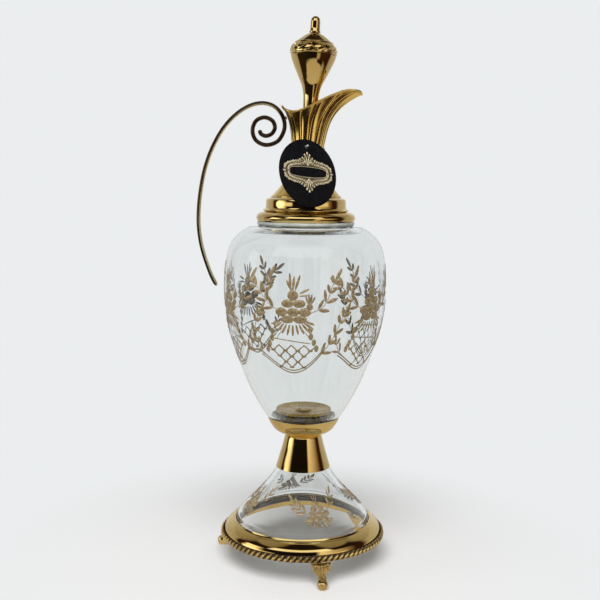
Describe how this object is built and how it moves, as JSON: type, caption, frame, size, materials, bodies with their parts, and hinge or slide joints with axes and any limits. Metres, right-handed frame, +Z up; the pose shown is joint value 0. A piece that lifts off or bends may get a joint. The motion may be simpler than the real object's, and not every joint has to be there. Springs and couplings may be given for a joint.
{
  "type": "stoppered glass ewer",
  "caption": "Footed glass ewer with gilt brass neck, scrolled handle, lift-out stopper, hanging label and a rope-edged ring base on toes.",
  "frame": {"origin": "at the level of the undersides of the toes, in the middle of the whole ewer's width and depth; the axis of the glass body stands at x 0.0091, y 0.0029", "axes": "+Z up, parallel to the axis of the glass body, +X towards the pouring lip, the handle is at -X"},
  "size_m": [0.1418, 0.1294, 0.4001],
  "materials": {
    "gilt_brass": "spun brass with a polished gold plate",
    "cast_gilt": "cast brass, gold plated, with darker tone left in the hollows",
    "handle_gilt": "half-round brass strip with a darkened gold plate",
    "clear_glass": "clear blown glass, wheel cut and gilded with leaf and berry sprays",
    "stopper_cork": "pressed cork",
    "seal_ring": "grey-brown sealing ring",
    "steel_fixings": "plain zinc-plated steel",
    "label_card": "black coated card with a printed gold ornament",
    "thread": "grey twisted thread"
  },
  "bodies": {
    "vessel": {"spout_neck": "gilt_brass", "collar_upper": "gilt_brass", "collar_rim": "gilt_brass", "neck_seal": "seal_ring", "glass_body": "clear_glass", "inner_seal": "seal_ring", "inner_disc": "gilt_brass", "tie_bolt": "steel_fixings", "body_cup": "gilt_brass", "stem_cone": "gilt_brass", "stem_washer": "steel_fixings", "stem_nut": "steel_fixings", "glass_foot": "clear_glass", "foot_gasket": "seal_ring", "glass_retainer": "gilt_brass", "base_ring": "gilt_brass", "gadroon_border": "cast_gilt", "handle": "handle_gilt", "handle_solder": "handle_gilt", "label_thread": "thread", "foot_1": "cast_gilt", "foot_2": "cast_gilt", "foot_3": "cast_gilt", "foot_rivet_1": "steel_fixings", "foot_rivet_2": "steel_fixings", "foot_rivet_3": "steel_fixings"},
    "stopper": {"stopper_finial": "gilt_brass", "stopper_cap": "gilt_brass", "stopper_body": "gilt_brass", "stopper_rod": "steel_fixings", "stopper_cork": "stopper_cork", "stopper_washer": "steel_fixings", "stopper_nut": "steel_fixings"},
    "label": {"label_disc": "label_card"}
  },
  "joints": [
    {"name": "stopper_lift", "type": "slide", "parent": "vessel", "child": "stopper", "axis": [0.0506, 0, 0.9987], "range_m": [0, 0.07]},
    {"name": "label_swing", "type": "hinge", "parent": "vessel", "child": "label", "pos_m": [0.00876, -0.02231, 0.3072], "axis": [-0.809, -0.5878, 0], "range_deg": [0, 45]}
  ]
}
